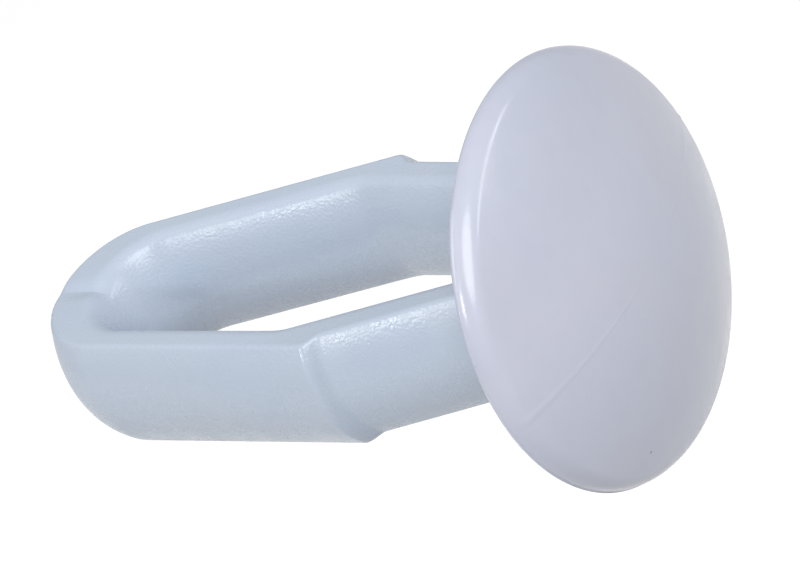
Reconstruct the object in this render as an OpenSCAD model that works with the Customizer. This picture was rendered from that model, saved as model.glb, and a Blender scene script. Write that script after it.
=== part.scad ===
// Push-in wall anchor: domed round head with two bowed spring legs that meet in a rounded tip.
// Row frame: origin at the centre of the head's flat seating face, +X towards the dome,
// legs towards -X, Y across the two legs, Z through the slot between them. Units are mm.
// The real article is one moulding. It is drawn as named regions, split at its flexures.

/* [Head] */
// Outside diameter of the head
head_d = 16; // [14:0.1:18]
// Height of the head from the seating face to the crown
head_h = 3.15; // [2.7:0.05:3.6]
// Distance from the seating face to the widest ring of the rim, and radius of the rim's edge below it
rim_x = 0.3; // [0.25:0.05:0.6]
// Radius of the rounded rim between the widest ring and the crown
rim_r = 0.95; // [0.7:0.05:1.2]
// Diameter of the hub that the legs grow from, inside the ring seat
hub_d = 8.6; // [8.4:0.1:10]

/* [Legs] */
// Width of each leg, measured along the slot's through direction
leg_w = 5; // [4.4:0.1:5.4]
// Thickness of a leg's flat sides at the seating face
side_t = 0.85; // [0.7:0.01:1]
// Height of the rounded swell on each broad face of a leg
swell = 0.85; // [0.6:0.05:0.95]
// Height of the swell round the nose
nose_swell = 0.25; // [0.2:0.05:0.8]
// Distance of the neck's middle from the axis at the seating face
root_y = 2.475; // [2.3:0.005:2.6]
// Angle at which each neck spreads away from the axis
neck_deg = 10.2; // [9:0.1:11]
// Angle that each face of a neck adds to that, so that the neck thickens away from the head
neck_taper = 0.4; // [0:0.1:0.6]
// Distance from the seating face to the raised shoulder
shoulder_x = 8.65; // [8.4:0.05:9.2]
// Height of the raised shoulder above the neck
shoulder_step = 0.48; // [0.3:0.02:0.5]
// Length of the slope that ends the shoulder
ramp_l = 0.55; // [0.5:0.05:0.7]
// Distance from the seating face to the inner bend of the leg
bend_x = 10.5; // [10.2:0.05:11]

/* [Tip] */
// Angle at which each leg closes towards the tip
barb_deg = 9.1; // [8.5:0.1:9.6]
// Distance from the seating face to the start of the rounded tip
nose_x = 19.9; // [19.5:0.1:21]
// Distance from the seating face to the front of the tip at its flat sides
tip_x = 22.6; // [22.2:0.1:23]
// Thickness of the bridge that joins the two legs at the tip
bridge_t = 1.8; // [1.5:0.1:2.1]

/* [Flexures] */
// Gap left for the flexure at the root of each neck
root_gap = 0.5; // [0.45:0.05:0.6]
// Gap left for the flexure between neck and shoulder
bend_gap = 0.66; // [0.6:0.02:0.72]
// Half the gap left for the flexure on the tip's centre line
tip_gap = 0.12; // [0.1:0.01:0.15]

/* [Hidden] */
$fn = 96;
head_r = head_d / 2;
// Dome sphere that runs into the rounded rim
dome_k = rim_x - head_h;
dome_r = (rim_r * rim_r - dome_k * dome_k - (head_r - rim_r) * (head_r - rim_r)) / (2 * (dome_k + rim_r));
dome_c = head_h - dome_r;
dome_a = atan2(head_r - rim_r, rim_x - dome_c);
// Height at which the crown runs into the rim
crown_x = dome_c + dome_r * cos(dome_a);
// Circles that swell a broad face by swell, or the nose by nose_swell, over the leg's width
swell_r = (leg_w * leg_w / 4 + swell * swell) / (2 * swell);
nose_swell_r = (leg_w * leg_w / 4 + nose_swell * nose_swell) / (2 * nose_swell);
// Neck: middle line and the middle of the bend flexure
neck_t = tan(neck_deg);
out_deg = neck_deg + neck_taper;
in_deg = neck_deg - neck_taper;
outer_y0 = root_y + side_t / 2;
inner_y0 = root_y - side_t / 2;
flex_x = shoulder_x - 0.65;
flex_y = root_y + flex_x * neck_t;
// Barb: outer corner line starts on the shoulder
barb_t = tan(barb_deg);
shoulder_y = outer_y0 + shoulder_x * tan(out_deg) + shoulder_step;
ramp_deg = atan(shoulder_step / ramp_l);
nose_y = shoulder_y - (nose_x - shoulder_x) * barb_t;
inner_bend_y = inner_y0 + bend_x * tan(in_deg);
inner_nose_y = inner_bend_y - (nose_x - bend_x) * barb_t;
// Rounded tip: circle through both outer corners and the front
sag = tip_x - nose_x;
nose_r = (nose_y * nose_y + sag * sag) / (2 * sag);
nose_c = tip_x - nose_r;
// Closed end of the slot
slot_end = tip_x - bridge_t;
slot_at_end = inner_bend_y - (slot_end - bend_x) * barb_t;
slot_r = slot_at_end / (1 / cos(barb_deg) - barb_t);
slot_c = slot_end - slot_r;
big = 40;

// Shallow spherical cap that closes the head
module head_crown() {
    color([0.78, 0.82, 0.88])
        rotate([0, 90, 0])
            rotate_extrude()
                intersection() {
                    translate([0, dome_c])
                        circle(r = dome_r, $fn = 720);
                    translate([0, crown_x])
                        square([head_r, head_h]);
                }
}

// Rounded rim, from its widest ring up to the crown
module head_rim() {
    color([0.77, 0.81, 0.87])
        rotate([0, 90, 0])
            rotate_extrude() {
                intersection() {
                    translate([head_r - rim_r, rim_x])
                        circle(r = rim_r);
                    translate([head_r - rim_r, rim_x])
                        square([head_r, crown_x - rim_x]);
                }
                translate([hub_d / 2, rim_x])
                    square([head_r - rim_r - hub_d / 2, crown_x - rim_x]);
            }
}

// Ring with the flat seating face and the rim's rounded lower edge
module head_flange() {
    color([0.76, 0.80, 0.86])
        rotate([0, 90, 0])
            rotate_extrude() {
                intersection() {
                    translate([head_r - rim_x, rim_x])
                        circle(r = rim_x);
                    translate([head_r - rim_x, 0])
                        square([head_r, rim_x]);
                }
                translate([hub_d / 2, 0])
                    square([head_r - rim_x - hub_d / 2, rim_x]);
            }
}

// Core of the head, inside the ring seat, that the two necks grow from
module head_hub() {
    color([0.76, 0.80, 0.86])
        rotate([0, 90, 0])
            cylinder(r = hub_d / 2, h = crown_x);
}

// Long round bar whose near side is one broad face of a leg, laid along the leg
module face_bar(corner_y, at_x, deg, side) {
    translate([-at_x, corner_y, 0])
        rotate([0, 0, deg])
            translate([0, side * (swell - swell_r), 0])
                rotate([0, 90, 0])
                    cylinder(r = swell_r, h = 2 * big, center = true);
}

module slab() {
    cube([2 * big, 2 * big, leg_w], center = true);
}

module x_range(x_near, x_far) {
    translate([-x_far, -big, -big])
        cube([x_far - x_near, 2 * big, 2 * big]);
}

module neck_solid() {
    intersection() {
        face_bar(outer_y0, 0, -out_deg, 1);
        face_bar(inner_y0, 0, -in_deg, -1);
        slab();
    }
}

// Everything on the head side of the bend flexure, or on the tip side of it
module flex_side(dist, side) {
    translate([-flex_x, flex_y, 0])
        rotate([0, 0, -neck_deg])
            translate([side > 0 ? dist : -dist - big, -big / 2, -big / 2])
                cube([big, big, big]);
}

module neck_upper() {
    color([0.75, 0.80, 0.87])
        intersection() {
            neck_solid();
            x_range(root_gap, flex_x + 5);
            flex_side(bend_gap / 2, 1);
        }
}

module shoulder_upper() {
    color([0.76, 0.81, 0.88])
        union() {
            intersection() {
                neck_solid();
                x_range(flex_x - 3, bend_x);
                flex_side(bend_gap / 2, -1);
            }
            intersection() {
                face_bar(shoulder_y, shoulder_x, barb_deg, 1);
                face_bar(shoulder_y, shoulder_x + ramp_l / 2, -ramp_deg, 1);
                face_bar(inner_y0, 0, -in_deg, -1);
                slab();
                x_range(shoulder_x - ramp_l / 2, bend_x);
            }
        }
}

module barb_solid() {
    intersection() {
        face_bar(shoulder_y, shoulder_x, barb_deg, 1);
        face_bar(inner_bend_y, bend_x, barb_deg, -1);
        slab();
    }
}

module barb_upper() {
    color([0.75, 0.80, 0.87])
        intersection() {
            barb_solid();
            x_range(bend_x, slot_c);
        }
}

// Barrel that rounds the front of the tip
module nose_barrel() {
    translate([-nose_c, 0, 0])
        rotate_extrude()
            intersection() {
                translate([nose_r + nose_swell - nose_swell_r, 0])
                    circle(r = nose_swell_r);
                translate([0, -leg_w / 2])
                    square([nose_r + nose_swell + 1, leg_w]);
            }
}

// Waisted plug that rounds the closed end of the slot
module slot_plug() {
    translate([-slot_c, 0, 0])
        rotate_extrude()
            difference() {
                translate([0, -leg_w])
                    square([slot_r + swell_r - swell, 2 * leg_w]);
                translate([slot_r + swell_r - swell, 0])
                    circle(r = swell_r);
            }
}

module tip_upper() {
    color([0.76, 0.81, 0.88])
        difference() {
            intersection() {
                face_bar(shoulder_y, shoulder_x, barb_deg, 1);
                nose_barrel();
                slab();
                x_range(slot_c, tip_x + 5);
                translate([-tip_x - 5, tip_gap, -big])
                    cube([big, big, 2 * big]);
            }
            slot_plug();
        }
}

module neck_lower() {
    mirror([0, 1, 0])
        neck_upper();
}

module shoulder_lower() {
    mirror([0, 1, 0])
        shoulder_upper();
}

module barb_lower() {
    mirror([0, 1, 0])
        barb_upper();
}

module tip_lower() {
    mirror([0, 1, 0])
        tip_upper();
}

head_crown();
head_rim();
head_flange();
head_hub();
neck_upper();
shoulder_upper();
barb_upper();
tip_upper();
neck_lower();
shoulder_lower();
barb_lower();
tip_lower();
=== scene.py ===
import math

import bpy
from mathutils import Matrix, Vector


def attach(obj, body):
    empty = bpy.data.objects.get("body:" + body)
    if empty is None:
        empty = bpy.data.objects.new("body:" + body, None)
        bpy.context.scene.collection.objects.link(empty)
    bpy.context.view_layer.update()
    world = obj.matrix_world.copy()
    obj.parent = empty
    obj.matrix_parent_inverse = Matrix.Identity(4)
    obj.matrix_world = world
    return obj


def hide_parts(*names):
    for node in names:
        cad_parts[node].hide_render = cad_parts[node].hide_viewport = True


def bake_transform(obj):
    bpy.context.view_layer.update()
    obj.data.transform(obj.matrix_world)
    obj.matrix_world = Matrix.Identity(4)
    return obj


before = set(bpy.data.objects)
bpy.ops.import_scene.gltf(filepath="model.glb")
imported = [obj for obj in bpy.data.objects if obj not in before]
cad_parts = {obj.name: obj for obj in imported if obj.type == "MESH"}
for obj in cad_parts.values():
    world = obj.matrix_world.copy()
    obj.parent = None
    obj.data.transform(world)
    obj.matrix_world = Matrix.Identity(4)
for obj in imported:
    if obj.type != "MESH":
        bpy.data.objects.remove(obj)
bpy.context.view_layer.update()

MM = 0.001

# Dimensions repeated from part.scad, in mm and degrees.
# d is the distance from the seating face towards the tip.
HEAD_R = 8.0
HEAD_H = 3.15
RIM_X = 0.3
RIM_R = 0.95
LEG_W = 5.0
SIDE_T = 0.85
SWELL = 0.85
NOSE_SWELL = 0.25
ROOT_Y = 2.475
NECK_DEG = 10.2
NECK_TAPER = 0.4
SHOULDER_D = 8.65
SHOULDER_STEP = 0.48
RAMP_L = 0.55
BEND_D = 10.5
BARB_DEG = 9.1
NOSE_D = 19.9
TIP_D = 22.6
BRIDGE_T = 1.8

# Derived as in part.scad
DOME_K = RIM_X - HEAD_H
DOME_R = (RIM_R**2 - DOME_K**2 - (HEAD_R - RIM_R) ** 2) / (2 * (DOME_K + RIM_R))
DOME_C = HEAD_H - DOME_R
DOME_A = math.atan2(HEAD_R - RIM_R, RIM_X - DOME_C)
NECK_OUT = math.tan(math.radians(NECK_DEG + NECK_TAPER))
NECK_IN = math.tan(math.radians(NECK_DEG - NECK_TAPER))
BARB = math.radians(BARB_DEG)
BARB_T = math.tan(BARB)
OUTER_Y0 = ROOT_Y + SIDE_T / 2
INNER_Y0 = ROOT_Y - SIDE_T / 2
SHOULDER_Y = OUTER_Y0 + SHOULDER_D * NECK_OUT + SHOULDER_STEP
NOSE_Y = SHOULDER_Y - (NOSE_D - SHOULDER_D) * BARB_T
INNER_BEND_Y = INNER_Y0 + BEND_D * NECK_IN
SAG = TIP_D - NOSE_D
NOSE_R = (NOSE_Y**2 + SAG**2) / (2 * SAG)
NOSE_C = TIP_D - NOSE_R
SLOT_END = TIP_D - BRIDGE_T
SLOT_R = (INNER_BEND_Y - (SLOT_END - BEND_D) * BARB_T) / (1 / math.cos(BARB) - BARB_T)
SLOT_C = SLOT_END - SLOT_R

# Edge rounding that only the looks have, in mm
OUTER_EDGE_R = 0.25
INNER_EDGE_R = 0.55
SLOT_EDGE_R = 0.8
ROOT_FILLET = 0.45
# A neck's root piece runs from SUNK_D, inside the head, to SEAM_D, where the leg piece starts
SUNK_D = -1.2
SEAM_D = 1.8


def smooth(t):
    t = min(1.0, max(0.0, t))
    return t * t * (3 - 2 * t)


def lerp(a, b, t):
    return a + (b - a) * t


def span(a, b, n):
    """n steps from a to b, without a."""
    return [lerp(a, b, k / n) for k in range(1, n + 1)]


# ---------------------------------------------------------------- materials

# Texture scales are in repeats per metre, and heights in metres
FLOW_SCALE = 220
STREAK_SCALE = (160, 1500, 1500)
STREAK_TONE = 0.93
STREAK_SHARE = 0.22
SPECK_SCALE = 330
SPECK_SHARE = 0.6
SPECK_COLOUR = (0.10, 0.10, 0.13)
GLOSS_SCALE = 900
# How far the roughness strays below and above its own value
ROUGH_LESS = 0.04
ROUGH_MORE = 0.05
WAVE_SCALE = 700
WAVE_HEIGHT = 0.00003
WAVE_STRENGTH = 0.15
GRAIN_HEIGHT = 0.00002


def plastic(name, base, warm, rough, grain, grain_strength):
    m = bpy.data.materials.new(name)
    m.use_nodes = True
    nt = m.node_tree
    nodes, links = nt.nodes, nt.links
    shader = nodes["Principled BSDF"]
    shader.inputs["IOR"].default_value = 1.5
    place = nodes.new("ShaderNodeTexCoord")

    def noise(scale, detail, stretch=None):
        t = nodes.new("ShaderNodeTexNoise")
        t.inputs["Scale"].default_value = scale
        t.inputs["Detail"].default_value = detail
        source = place.outputs["Object"]
        if stretch:
            mapping = nodes.new("ShaderNodeMapping")
            mapping.inputs["Scale"].default_value = stretch
            links.new(source, mapping.inputs["Vector"])
            source = mapping.outputs["Vector"]
        links.new(source, t.inputs["Vector"])
        return t.outputs["Fac"]

    def ramp(value, lo, hi, out_lo, out_hi):
        r = nodes.new("ShaderNodeMapRange")
        r.interpolation_type = "SMOOTHSTEP"
        for key, v in (("From Min", lo), ("From Max", hi), ("To Min", out_lo), ("To Max", out_hi)):
            r.inputs[key].default_value = v
        links.new(value, r.inputs["Value"])
        return r.outputs["Result"]

    def mix(factor, a, b):
        x = nodes.new("ShaderNodeMix")
        x.data_type = "RGBA"
        links.new(factor, x.inputs["Factor"])
        for key, v in (("A", a), ("B", b)):
            socket = [s for s in x.inputs if s.name == key and s.type == "RGBA"][0]
            if isinstance(v, tuple):
                socket.default_value = (*v, 1)
            else:
                links.new(v, socket)
        return [s for s in x.outputs if s.type == "RGBA"][0]

    # Resin flow: slow changes of tint, and faint streaks along the moulding
    flow = ramp(noise(FLOW_SCALE, detail=2), lo=0.35, hi=0.65, out_lo=0, out_hi=1)
    colour = mix(flow, base, warm)
    streak_noise = noise(1, detail=3, stretch=STREAK_SCALE)
    streaks = ramp(streak_noise, lo=0.4, hi=0.75, out_lo=0, out_hi=STREAK_SHARE)
    colour = mix(streaks, colour, tuple(c * STREAK_TONE for c in base))
    # A few dark specks of burnt resin
    cells = nodes.new("ShaderNodeTexVoronoi")
    cells.inputs["Scale"].default_value = SPECK_SCALE
    links.new(place.outputs["Object"], cells.inputs["Vector"])
    specks = ramp(cells.outputs["Distance"], lo=0.012, hi=0.022, out_lo=SPECK_SHARE, out_hi=0)
    colour = mix(specks, colour, SPECK_COLOUR)
    links.new(colour, shader.inputs["Base Color"])
    gloss_noise = noise(GLOSS_SCALE, detail=4)
    gloss = ramp(gloss_noise, lo=0.3, hi=0.7, out_lo=rough - ROUGH_LESS, out_hi=rough + ROUGH_MORE)
    links.new(gloss, shader.inputs["Roughness"])
    # Moulded skin: fine grain over slow waviness
    wave = nodes.new("ShaderNodeBump")
    wave.inputs["Distance"].default_value = WAVE_HEIGHT
    wave.inputs["Strength"].default_value = WAVE_STRENGTH
    links.new(noise(WAVE_SCALE, detail=2), wave.inputs["Height"])
    bump = nodes.new("ShaderNodeBump")
    bump.inputs["Distance"].default_value = GRAIN_HEIGHT
    bump.inputs["Strength"].default_value = grain_strength
    links.new(noise(grain, detail=0), bump.inputs["Height"])
    links.new(wave.outputs["Normal"], bump.inputs["Normal"])
    links.new(bump.outputs["Normal"], shader.inputs["Normal"])
    return m


LEG_PLASTIC = plastic(
    "nylon_grained",
    base=(0.402, 0.466, 0.562),
    warm=(0.414, 0.47, 0.556),
    rough=0.28,
    grain=10000,
    grain_strength=0.5,
)
HEAD_PLASTIC = plastic(
    "nylon_smooth",
    base=(0.45, 0.475, 0.57),
    warm=(0.458, 0.472, 0.558),
    rough=0.22,
    grain=6000,
    grain_strength=0.1,
)


# ---------------------------------------------------------------- meshes


def mesh_piece(name, verts, faces, material, sharp=()):
    """sharp is a list of loops of vertex numbers whose edges stay crisp."""
    mesh = bpy.data.meshes.new(name)
    mesh.from_pydata([(x * MM, y * MM, z * MM) for x, y, z in verts], [], faces)
    mesh.polygons.foreach_set("use_smooth", [True] * len(mesh.polygons))
    crisp = {frozenset((loop[k - 1], loop[k])) for loop in sharp for k in range(len(loop))}
    for e in mesh.edges:
        if frozenset(e.vertices) in crisp:
            e.use_edge_sharp = True
    mesh.update()
    mesh.validate()
    obj = bpy.data.objects.new(name, mesh)
    bpy.context.scene.collection.objects.link(obj)
    mesh.materials.append(material)
    return obj


def loft(loops, flip=False):
    """Closed solid through loops of equal length, with a fan over each end: (verts, faces, end loops)."""
    n = len(loops[0])
    verts = [p for loop in loops for p in loop]
    faces = []
    for i in range(len(loops) - 1):
        a, b = i * n, (i + 1) * n
        for k in range(n):
            j = (k + 1) % n
            faces.append((a + k, a + j, b + j, b + k))
    ends = []
    for first, loop in ((0, loops[0]), ((len(loops) - 1) * n, loops[-1])):
        centre = len(verts)
        verts.append(tuple(sum(p[c] for p in loop) / n for c in range(3)))
        ring = [first + k for k in range(n)]
        ends.append(ring)
        for k in range(n):
            j = (k + 1) % n
            faces.append((ring[j], ring[k], centre) if first == 0 else (ring[k], ring[j], centre))
    if flip:
        faces = [tuple(reversed(f)) for f in faces]
    return verts, faces, ends


# Steps round an edge's fillet, and across the bowed face between two fillets
FILLET_STEPS = 6
BOW_STEPS = 36


def face_profile(edge, swell=SWELL, inset=0.0):
    """Across one broad face of a leg, from the +Z edge to the -Z edge: (height over the corner line, z)."""
    half = LEG_W / 2 - inset
    bow_r = (half**2 + swell**2) / (2 * swell)
    centre = swell - bow_r
    z_f = half - edge
    a_f = centre + math.sqrt((bow_r - edge) ** 2 - z_f**2)
    turn = math.asin(z_f / (bow_r - edge))
    fillet = [lerp(math.pi / 2, turn, k / FILLET_STEPS) for k in range(FILLET_STEPS)]
    bow = [lerp(turn, -turn, k / BOW_STEPS) for k in range(BOW_STEPS + 1)]
    points = [(a_f + edge * math.cos(t), z_f + edge * math.sin(t)) for t in fillet]
    points += [(centre + bow_r * math.cos(t), bow_r * math.sin(t)) for t in bow]
    points += [(a_f + edge * math.cos(t), -z_f - edge * math.sin(t)) for t in reversed(fillet)]
    return [(a - inset, z) for a, z in points]


def soften(points, at, reach, rounds):
    """Rounds the corner of a line of (x, y) points at one index."""
    points = list(points)
    for _ in range(rounds):
        old = list(points)
        for k in range(max(1, at - reach), min(len(points) - 1, at + reach + 1)):
            points[k] = tuple((old[k - 1][c] + 2 * old[k][c] + old[k + 1][c]) / 4 for c in (0, 1))
    return points


# The shoulder's rise starts a little before its ramp and ends a little after it
RISE_EARLY = 0.05
RISE_LATE = 0.12
# The loops of a leg stand closer together from FINE_D, and closest from RISE_FROM_D to RISE_TO_D
FINE_D = 6.6
RISE_FROM_D = 8.2
RISE_TO_D = 9.2
NECK_STEPS = span(SEAM_D, FINE_D, 12) + span(FINE_D, RISE_FROM_D, 16)
RISE_STEPS = span(RISE_FROM_D, RISE_TO_D, 24)
LAND_STEPS = span(RISE_TO_D, BEND_D, 9)
NEAR_STEPS = [SEAM_D] + NECK_STEPS + RISE_STEPS + LAND_STEPS
# Shares of the way along the barb, and then round the tip
BARB_STEPS = span(0, 0.9, 24) + span(0.9, 1, 10)
NOSE_STEPS = span(0, 0.12, 10) + span(0.12, 0.8, 30) + span(0.8, 1, 20)


def neck_outer(d, a):
    return OUTER_Y0 + d * NECK_OUT + a * math.hypot(1, NECK_OUT)


def barb_outer(d, a):
    return SHOULDER_Y - (d - SHOULDER_D) * BARB_T + a / math.cos(BARB)


def neck_inner(d, a):
    return INNER_Y0 + d * NECK_IN - a * math.hypot(1, NECK_IN)


def near_outer(d, a):
    """The neck's outer line, which rises to the barb's over the shoulder."""
    start = SHOULDER_D - RAMP_L / 2 - RISE_EARLY
    end = SHOULDER_D + RAMP_L / 2 + RISE_LATE
    return lerp(neck_outer(d, a), barb_outer(d, a), smooth((d - start) / (end - start)))


def straight(start, end):
    """Along the barb from start, which is left out, to end."""
    return [(lerp(start[0], end[0], t), lerp(start[1], end[1], t)) for t in BARB_STEPS]


def tip_arc(centre_d, r, turn):
    """Round the tip, about a centre on the axis, from the angle turn, which is left out, to y = 0."""
    angles = [turn * (1 - t) for t in NOSE_STEPS]
    return [(-centre_d - r * math.cos(t), r * math.sin(t)) for t in angles]


def outer_line(a):
    """Outer edge of the upper leg, seen along Z, where the broad face stands a over its corner line."""
    points = [(-d, near_outer(d, a)) for d in NEAR_STEPS]
    # Where the barb's line meets the nose's circle
    r = NOSE_R + a
    y0 = barb_outer(NOSE_C, a)
    reach = (y0 * BARB_T + math.sqrt(r * r * (1 + BARB_T**2) - y0**2)) / (1 + BARB_T**2)
    kink_d = NOSE_C + reach
    kink_y = barb_outer(kink_d, a)
    points += straight(points[-1], (-kink_d, kink_y))
    kink = len(points) - 1
    points += tip_arc(NOSE_C, r, math.atan2(kink_y, reach))
    return soften(points, kink, reach=5, rounds=6)


def inner_line(a):
    """The same for the edge along the slot."""
    points = [(-d, neck_inner(d, a)) for d in NEAR_STEPS]
    bend = len(points) - 1
    r = SLOT_R - a
    turn = math.pi / 2 - BARB
    points += straight(points[-1], (-SLOT_C - r * math.cos(turn), r * math.sin(turn)))
    points += tip_arc(SLOT_C, r, turn)
    return soften(points, bend, reach=3, rounds=5)


# Shares of the way over a leg's flat side where a loop has points
SIDE_STEPS = (0.06, 0.35, 0.65, 0.94)


def section(outer, inner):
    """Closed loop round a leg, from the (x, y, z) points across its outer face and its inner face."""

    def side(p, q):
        return [tuple(lerp(p[c], q[c], t) for c in range(3)) for t in SIDE_STEPS]

    back = list(reversed(inner))
    return outer + side(outer[-1], back[0]) + back + side(back[-1], outer[0])


# The weld line starts KNIT_RUN before the slot's end and fades out KNIT_REACH in from a leg's side
KNIT_RUN = 1.5
KNIT_REACH = 0.7
KNIT_NOSE_DEPTH = 0.06
KNIT_SLOT_DEPTH = 0.2
# Its section is part V and part rounded: each part's share of the depth, and its width
KNIT_V_SHARE = 0.35
KNIT_V_WIDTH = 0.35
KNIT_ROUND_SHARE = 0.65
KNIT_ROUND_WIDTH = 0.4


def knit(p):
    """The weld line where the legs meet at the tip: a groove along y = 0, deepest at the slot's end."""
    x, y, z = p
    if x > -SLOT_END + KNIT_RUN:
        return p
    depth = lerp(KNIT_NOSE_DEPTH, KNIT_SLOT_DEPTH, smooth((x + TIP_D) / (TIP_D - SLOT_END)))
    edge = smooth((abs(z) - LEG_W / 2 + KNIT_REACH) / KNIT_REACH)
    v_part = KNIT_V_SHARE * math.exp(-abs(y) / KNIT_V_WIDTH)
    round_part = KNIT_ROUND_SHARE * math.exp(-((y / KNIT_ROUND_WIDTH) ** 2))
    return (x, y, z - math.copysign(depth * (v_part + round_part) * edge, z))


def across(low, high, profile):
    """Over one broad face, whose line runs through low at height 0 and through high at height 1."""
    return [(lerp(low[0], high[0], a), lerp(low[1], high[1], a), z) for a, z in profile]


# The slot's edges start to round off this many loops before the tip's arc
SLOT_LEAD = 8


def leg(name, side):
    low_o, high_o = outer_line(0), outer_line(1)
    low_i, high_i = inner_line(0), inner_line(1)
    count, nose = len(low_o), len(NOSE_STEPS)
    loops = []
    for k in range(count):
        past = k - (count - nose)
        nearing = smooth(past / nose)
        rounding = smooth((past + SLOT_LEAD) / nose)
        outer_profile = face_profile(OUTER_EDGE_R, swell=lerp(SWELL, NOSE_SWELL, nearing))
        inner_profile = face_profile(lerp(INNER_EDGE_R, SLOT_EDGE_R, rounding))
        outer = across(low_o[k], high_o[k], outer_profile)
        inner = across(low_i[k], high_i[k], inner_profile)
        loops.append([(x, side * y, z) for x, y, z in map(knit, section(outer, inner))])
    verts, faces, ends = loft(loops, flip=side > 0)
    return mesh_piece(name, verts, faces, LEG_PLASTIC, ends)


# Loops over the root's fillet, and how strongly they crowd towards the head
FILLET_LOOPS = 12
FILLET_CROWD = 1.6


def neck_root(name, side):
    """The root of a neck, from inside the head to the leg's first loop, with a fillet at the head."""
    across_outer, across_inner = face_profile(OUTER_EDGE_R), face_profile(INNER_EDGE_R)
    steps = [SUNK_D, SUNK_D / 2, SUNK_D / 4]
    steps += [ROOT_FILLET * (k / FILLET_LOOPS) ** FILLET_CROWD for k in range(FILLET_LOOPS + 1)]
    steps += span(ROOT_FILLET, SEAM_D, 10)
    loops = []
    for d in steps:
        left = 1 - min(1, max(0, d) / ROOT_FILLET)
        flare = ROOT_FILLET * (1 - math.sqrt(1 - left**2))
        wide = 1 + flare / (LEG_W / 2)
        outer = [(-d, neck_outer(d, a + flare), z) for a, z in across_outer]
        inner = [(-d, neck_inner(d, a + flare), z) for a, z in across_inner]
        loops.append([(x, side * y, z * wide) for x, y, z in section(outer, inner)])
    verts, faces, ends = loft(loops, flip=side > 0)
    return mesh_piece(name, verts, faces, LEG_PLASTIC, ends)


# The tip's core lies this far under the surface, and turns about a line this far before the slot's end
CORE_SUNK = 0.05
CORE_BEFORE = 0.2
CORE_EDGE_R = 0.3
# Shares of its full width that it keeps at the nose and at the pivot
CORE_NOSE_WIDE = 0.98
CORE_PIVOT_WIDE = 0.65
# Degrees round the pivot, from the lower leg's side to the upper's
CORE_DEGREES = range(-14, 23, 2)


def tip_core(name):
    """Solid heart of the tip, turned about the weld line. It closes the nose when the two halves turn apart."""
    pivot = -SLOT_END + CORE_BEFORE
    off = pivot + NOSE_C
    profile = face_profile(CORE_EDGE_R, swell=NOSE_SWELL, inset=CORE_SUNK)
    loops = []
    for degrees in CORE_DEGREES:
        c, s = math.cos(math.radians(degrees)), math.sin(math.radians(degrees))
        outer = []
        for a, z in profile:
            reach = off * c + math.sqrt((NOSE_R + a) ** 2 - (off * s) ** 2)
            outer.append((pivot - reach * c, reach * s, z * CORE_NOSE_WIDE))
        inner = [(pivot - CORE_SUNK * c, CORE_SUNK * s, z * CORE_PIVOT_WIDE) for _, z in profile]
        loops.append(section(outer, inner))
    verts, faces, ends = loft(loops)
    return mesh_piece(name, verts, faces, LEG_PLASTIC, ends)


# The seat side of the rim, below LIP_X, stands a little proud over the sector that the mould's slide forms
LIP_X = 0.27
LIP_STEP = 0.004
LIP_PROUD = 0.05
LIP_HALF = math.radians(61)
LIP_FADE = math.radians(2)
LIP_DEPTH = 0.3
# The mould's parting line is a fine ridge, and this is the slope of its flanks
SEAM_SLOPE = 0.25
HEAD_TURNS = 400
DOME_STEPS = 60
RIM_STEPS = 26
EDGE_STEPS = 16
UNDERSIDE_RINGS = (HEAD_R - RIM_X - 0.05, 7.2, 6.4, 5.6, 4.6, 3.6, 2.6, 1.6, 0.8)


def head_point(x, r, k):
    """Point k of a ring of the head, counted from +Y towards +Z."""
    turn = 2 * math.pi * k / HEAD_TURNS
    if x < LIP_X and r > HEAD_R - RIM_R:
        from_low = abs(turn - math.pi)
        sector = smooth((LIP_HALF - from_low) / LIP_FADE)
        r += LIP_PROUD * sector * smooth((r - HEAD_R + RIM_R) / LIP_DEPTH)
    if k % (HEAD_TURNS // 2) == 0 and x > RIM_X:
        # The parting line lies over the dome in the plane z = 0
        x += SEAM_SLOPE * 2 * math.pi * r / HEAD_TURNS * math.cos(math.asin(min(1, r / DOME_R)))
    return (x, r * math.cos(turn), r * math.sin(turn))


def head():
    dome = [DOME_A * k / DOME_STEPS for k in range(1, DOME_STEPS + 1)]
    rim = span(DOME_A, math.pi / 2, RIM_STEPS)
    lip_top = math.acos((LIP_X + LIP_STEP - RIM_X) / RIM_X)
    lip_foot = math.acos((LIP_X - LIP_STEP - RIM_X) / RIM_X)
    edge = span(math.pi / 2, lip_top, 2) + span(lip_foot, math.pi, EDGE_STEPS)
    profile = [(DOME_C + DOME_R * math.cos(t), DOME_R * math.sin(t)) for t in dome]
    profile += [(RIM_X + RIM_R * math.cos(t), HEAD_R - RIM_R + RIM_R * math.sin(t)) for t in rim]
    profile += [(RIM_X + RIM_X * math.cos(t), HEAD_R - RIM_X + RIM_X * math.sin(t)) for t in edge]
    profile += [(0.0, r) for r in UNDERSIDE_RINGS]
    loops = [[head_point(x, r, k) for k in range(HEAD_TURNS)] for x, r in profile]
    verts, faces, _ = loft(loops, flip=True)
    return mesh_piece("head", verts, faces, HEAD_PLASTIC)


# ---------------------------------------------------------------- pieces, with the head and the tip's core on their bodies


head_piece = head()
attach(head_piece, "head")
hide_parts("head_crown", "head_rim", "head_flange", "head_hub")

for which, side in (("upper", 1), ("lower", -1)):
    root = neck_root(f"neck_root_{which}", side)
    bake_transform(root)
    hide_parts(f"neck_{which}")
    limb = leg(f"leg_{which}", side)
    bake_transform(limb)
    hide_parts(f"shoulder_{which}", f"barb_{which}", f"tip_{which}")

core = tip_core("tip_core")
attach(core, "leg_lower")

# ---------------------------------------------------------------- floor, light, camera

# Half the floor's width and its height, in metres, then the paper's tone and the light it gives off
FLOOR_HALF = 1.5
FLOOR_Z = -0.1
PAPER_TONE = 0.97
PAPER_GLOW = 0.1


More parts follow.
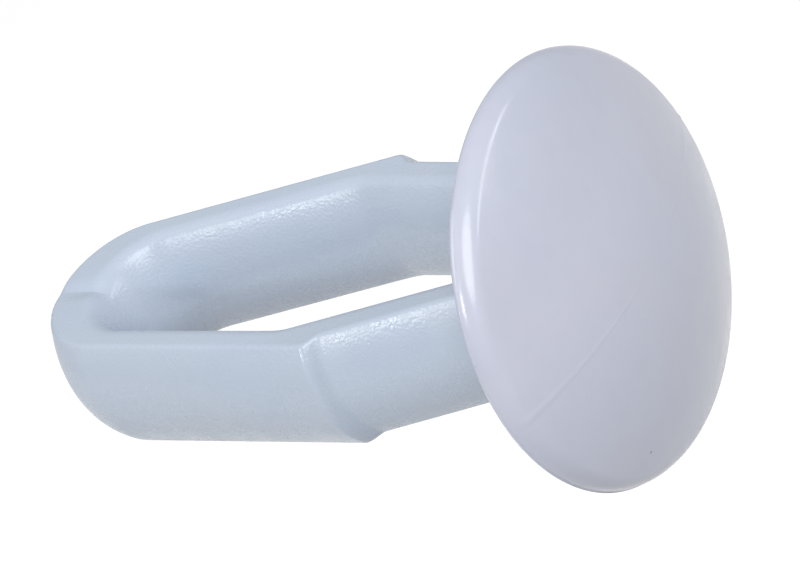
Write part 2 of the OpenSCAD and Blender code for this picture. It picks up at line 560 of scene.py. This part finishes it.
def floor():
    corners = ((-1, -1), (1, -1), (1, 1), (-1, 1))
    mesh = bpy.data.meshes.new("floor")
    mesh.from_pydata([(x * FLOOR_HALF, y * FLOOR_HALF, FLOOR_Z) for x, y in corners], [], [(0, 1, 2, 3)])
    obj = bpy.data.objects.new("floor", mesh)
    bpy.context.scene.collection.objects.link(obj)
    m = bpy.data.materials.new("floor_paper")
    m.use_nodes = True
    shader = m.node_tree.nodes["Principled BSDF"]
    shader.inputs["Base Color"].default_value = (PAPER_TONE, PAPER_TONE, PAPER_TONE, 1)
    shader.inputs["Roughness"].default_value = 0.9
    shader.inputs["Specular IOR Level"].default_value = 0.1
    shader.inputs["Emission Color"].default_value = (1, 1, 1, 1)
    shader.inputs["Emission Strength"].default_value = PAPER_GLOW
    mesh.materials.append(m)
    # The paper is overexposed, so it doesn't light the part from below
    obj.visible_diffuse = False
    return obj


floor()

WORLD_LIGHT = 0.48
world = bpy.data.worlds.new("studio")
world.use_nodes = True
world.node_tree.nodes["Background"].inputs["Color"].default_value = (1, 1, 1, 1)
world.node_tree.nodes["Background"].inputs["Strength"].default_value = WORLD_LIGHT
bpy.context.scene.world = world

# Place on the part's axis that the lights point at, in metres
LIGHT_AIM = Vector((-0.010, 0, 0))


def area_light(name, toward, distance, size, power, tall=None, along=(0, 0, 1)):
    """Soft box towards a direction from the part. tall is its other size, along the direction along."""
    data = bpy.data.lights.new(name, "AREA")
    data.shape = "ELLIPSE"
    data.size = size
    data.size_y = tall or size
    data.energy = power
    obj = bpy.data.objects.new(name, data)
    z = Vector(toward).normalized()
    x = Vector(along).cross(z).normalized()
    obj.rotation_mode = "QUATERNION"
    obj.rotation_quaternion = Matrix((x, z.cross(x), z)).transposed().to_quaternion()
    obj.location = LIGHT_AIM + z * distance
    obj.visible_camera = False
    bpy.context.scene.collection.objects.link(obj)


area_light("right", toward=(0.42, -0.53, 0.74), distance=0.6, size=0.45, power=2.8)
area_light("left", toward=(-0.5, -0.5, 0.7), distance=0.6, size=0.45, power=0.4)
area_light("back", toward=(0.7, 0.3, 0.65), distance=0.6, size=0.45, power=0.15)
area_light(
    "strip", toward=(0.83, 0.335, 0.44), distance=0.6, size=0.07, power=0.95, tall=0.55, along=(0, 0.95, 0.3)
)
area_light("window", toward=(-0.372, -0.793, 0.482), distance=0.45, size=0.07, power=0.33)

# The camera looks at AIM from the direction BACK, rolled about its own axis
BACK = Vector((0.600, -0.6115, 0.516)).normalized()
AIM = Vector((-5.195, -2.717, 2.881)) * MM
CAMERA_DISTANCE = 0.354
CAMERA_ROLL = math.radians(-35.08)
LENS = 447

camera_data = bpy.data.cameras.new("camera")
camera_data.sensor_width = 36
camera_data.lens = LENS
camera_data.clip_start = 0.05
camera_data.clip_end = 5
camera = bpy.data.objects.new("camera", camera_data)
bpy.context.scene.collection.objects.link(camera)
roll = Matrix.Rotation(CAMERA_ROLL, 4, "Z").to_quaternion()
camera.rotation_mode = "QUATERNION"
camera.rotation_quaternion = (-BACK).to_track_quat("-Z", "Y") @ roll
camera.location = AIM + BACK * CAMERA_DISTANCE
bpy.context.scene.camera = camera

bpy.context.scene.view_settings.view_transform = "Standard"
